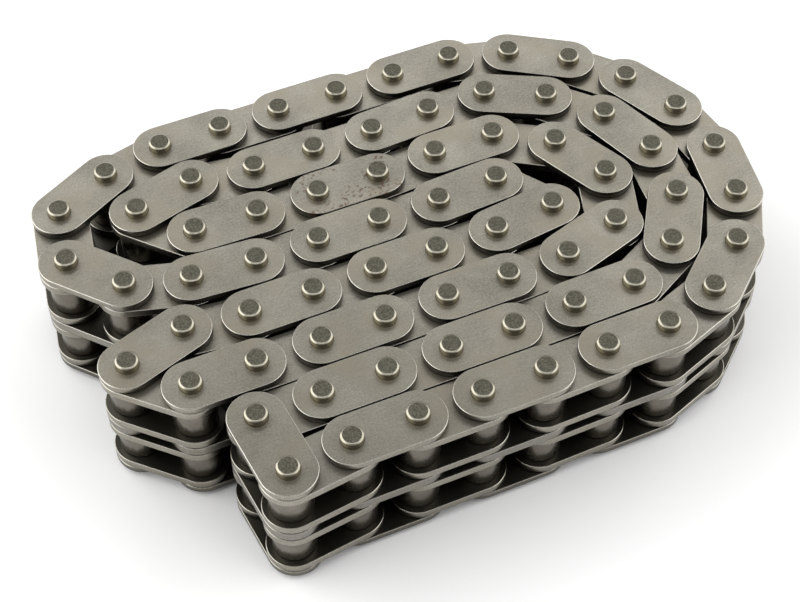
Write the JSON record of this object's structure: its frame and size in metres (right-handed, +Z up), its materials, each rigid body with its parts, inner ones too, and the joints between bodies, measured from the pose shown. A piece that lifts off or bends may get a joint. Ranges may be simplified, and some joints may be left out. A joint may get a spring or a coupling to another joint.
{
  "type": "timing chain",
  "caption": "Endless duplex roller chain for an engine's timing drive, folded on its side into a coil of pinned outer links and bushed inner links with turning rollers.",
  "frame": {"origin": "middle of the coil on the surface that the lower pin ends rest on", "axes": "+X along the straight runs, +Y from the front run to the back run, +Z up along the pins"},
  "size_m": [0.1042, 0.0694, 0.0233],
  "materials": {
    "outer_plates": "satin, fine grain",
    "middle_plates": "satin, fine grain",
    "inner_plates": "satin, fine grain",
    "pins": "bright rim, dull end faces",
    "bushes": "dull",
    "rollers": "dull, brownish"
  },
  "bodies": {
    "coil": {"coil_outer_plates_top": "outer_plates", "coil_outer_plates_bottom": "outer_plates", "coil_middle_plates": "middle_plates", "coil_pins": "pins", "coil_inner_plates_top": "inner_plates", "coil_inner_plates_bottom": "inner_plates", "coil_bushes_top": "bushes", "coil_bushes_bottom": "bushes", "coil_rollers_top": "rollers", "coil_rollers_bottom": "rollers", "open_pivot_pin": "pins"},
    "link_1": {"outer_plates_1": "outer_plates", "middle_plate_1": "middle_plates", "pins_1": "pins"},
    "link_2": {"inner_plates_1": "inner_plates", "bushes_1": "bushes"},
    "link_3": {"outer_plates_2": "outer_plates", "middle_plate_2": "middle_plates", "pins_2": "pins"},
    "link_4": {"inner_plates_2": "inner_plates", "bushes_2": "bushes"},
    "link_5": {"outer_plates_3": "outer_plates", "middle_plate_3": "middle_plates", "pins_3": "pins"},
    "link_6": {"inner_plates_3": "inner_plates", "bushes_3": "bushes"},
    "link_7": {"outer_plates_4": "outer_plates", "middle_plate_4": "middle_plates", "pins_4": "pins"},
    "link_8": {"inner_plates_4": "inner_plates", "bushes_4": "bushes"},
    "link_9": {"outer_plates_5": "outer_plates", "middle_plate_5": "middle_plates", "pins_5": "pins"},
    "link_10": {"inner_plates_5": "inner_plates", "bushes_5": "bushes"},
    "link_11": {"outer_plates_6": "outer_plates", "middle_plate_6": "middle_plates", "pins_6": "pins"},
    "link_12": {"inner_plates_6": "inner_plates", "bushes_6": "bushes"},
    "link_13": {"outer_plates_7": "outer_plates", "middle_plate_7": "middle_plates", "pins_7": "pins"},
    "roller_pair_1": {"rollers_1": "rollers"},
    "roller_pair_2": {"rollers_2": "rollers"},
    "roller_pair_3": {"rollers_3": "rollers"},
    "roller_pair_4": {"rollers_4": "rollers"},
    "roller_pair_5": {"rollers_5": "rollers"},
    "roller_pair_6": {"rollers_6": "rollers"},
    "roller_pair_7": {"rollers_7": "rollers"},
    "roller_pair_8": {"rollers_8": "rollers"},
    "roller_pair_9": {"rollers_9": "rollers"},
    "roller_pair_10": {"rollers_10": "rollers"},
    "roller_pair_11": {"rollers_11": "rollers"},
    "roller_pair_12": {"rollers_12": "rollers"}
  },
  "joints": [
    {"name": "link_pivot_1", "type": "hinge", "parent": "coil", "child": "link_1", "pos_m": [0.04256, 0.01568, 0], "axis": [0, 0, 1], "range_deg": [0, 40]},
    {"name": "link_pivot_2", "type": "hinge", "parent": "link_1", "child": "link_2", "pos_m": [0.04667, 0.00709, 0], "axis": [0, 0, 1], "range_deg": [0, 40]},
    {"name": "link_pivot_3", "type": "hinge", "parent": "link_2", "child": "link_3", "pos_m": [0.04805, -0.00233, 0], "axis": [0, 0, 1], "range_deg": [0, 40]},
    {"name": "link_pivot_4", "type": "hinge", "parent": "link_3", "child": "link_4", "pos_m": [0.04639, -0.01171, 0], "axis": [0, 0, 1], "range_deg": [0, 40]},
    {"name": "link_pivot_5", "type": "hinge", "parent": "link_4", "child": "link_5", "pos_m": [0.04173, -0.02002, 0], "axis": [0, 0, 1], "range_deg": [0, 40]},
    {"name": "link_pivot_6", "type": "hinge", "parent": "link_5", "child": "link_6", "pos_m": [0.03448, -0.0262, 0], "axis": [0, 0, 1], "range_deg": [0, 40]},
    {"name": "link_pivot_7", "type": "hinge", "parent": "link_6", "child": "link_7", "pos_m": [0.02548, -0.02932, 0], "axis": [0, 0, 1], "range_deg": [0, 40]},
    {"name": "link_pivot_8", "type": "hinge", "parent": "link_7", "child": "link_8", "pos_m": [0.01596, -0.02932, 0], "axis": [0, 0, 1], "range_deg": [0, 40]},
    {"name": "link_pivot_9", "type": "hinge", "parent": "link_8", "child": "link_9", "pos_m": [0.00643, -0.02948, 0], "axis": [0, 0, 1], "range_deg": [0, 40]},
    {"name": "link_pivot_10", "type": "hinge", "parent": "link_9", "child": "link_10", "pos_m": [-0.00309, -0.02948, 0], "axis": [0, 0, 1], "range_deg": [0, 40]},
    {"name": "link_pivot_11", "type": "hinge", "parent": "link_10", "child": "link_11", "pos_m": [-0.01262, -0.02948, 0], "axis": [0, 0, 1], "range_deg": [0, 40]},
    {"name": "link_pivot_12", "type": "hinge", "parent": "link_11", "child": "link_12", "pos_m": [-0.02214, -0.02948, 0], "axis": [0, 0, 1], "range_deg": [0, 40]},
    {"name": "link_pivot_13", "type": "hinge", "parent": "link_12", "child": "link_13", "pos_m": [-0.03161, -0.03056, 0], "axis": [0, 0, 1], "range_deg": [0, 110]},
    {"name": "roller_spin_1", "type": "hinge", "parent": "link_2", "child": "roller_pair_1", "pos_m": [0.04667, 0.00709, 0], "axis": [0, 0, 1], "continuous": true},
    {"name": "roller_spin_2", "type": "hinge", "parent": "link_2", "child": "roller_pair_2", "pos_m": [0.04805, -0.00233, 0], "axis": [0, 0, 1], "continuous": true},
    {"name": "roller_spin_3", "type": "hinge", "parent": "link_4", "child": "roller_pair_3", "pos_m": [0.04639, -0.01171, 0], "axis": [0, 0, 1], "continuous": true},
    {"name": "roller_spin_4", "type": "hinge", "parent": "link_4", "child": "roller_pair_4", "pos_m": [0.04173, -0.02002, 0], "axis": [0, 0, 1], "continuous": true},
    {"name": "roller_spin_5", "type": "hinge", "parent": "link_6", "child": "roller_pair_5", "pos_m": [0.03448, -0.0262, 0], "axis": [0, 0, 1], "continuous": true},
    {"name": "roller_spin_6", "type": "hinge", "parent": "link_6", "child": "roller_pair_6", "pos_m": [0.02548, -0.02932, 0], "axis": [0, 0, 1], "continuous": true},
    {"name": "roller_spin_7", "type": "hinge", "parent": "link_8", "child": "roller_pair_7", "pos_m": [0.01596, -0.02932, 0], "axis": [0, 0, 1], "continuous": true},
    {"name": "roller_spin_8", "type": "hinge", "parent": "link_8", "child": "roller_pair_8", "pos_m": [0.00643, -0.02948, 0], "axis": [0, 0, 1], "continuous": true},
    {"name": "roller_spin_9", "type": "hinge", "parent": "link_10", "child": "roller_pair_9", "pos_m": [-0.00309, -0.02948, 0], "axis": [0, 0, 1], "continuous": true},
    {"name": "roller_spin_10", "type": "hinge", "parent": "link_10", "child": "roller_pair_10", "pos_m": [-0.01262, -0.02948, 0], "axis": [0, 0, 1], "continuous": true},
    {"name": "roller_spin_11", "type": "hinge", "parent": "link_12", "child": "roller_pair_11", "pos_m": [-0.02214, -0.02948, 0], "axis": [0, 0, 1], "continuous": true},
    {"name": "roller_spin_12", "type": "hinge", "parent": "link_12", "child": "roller_pair_12", "pos_m": [-0.03161, -0.03056, 0], "axis": [0, 0, 1], "continuous": true}
  ]
}
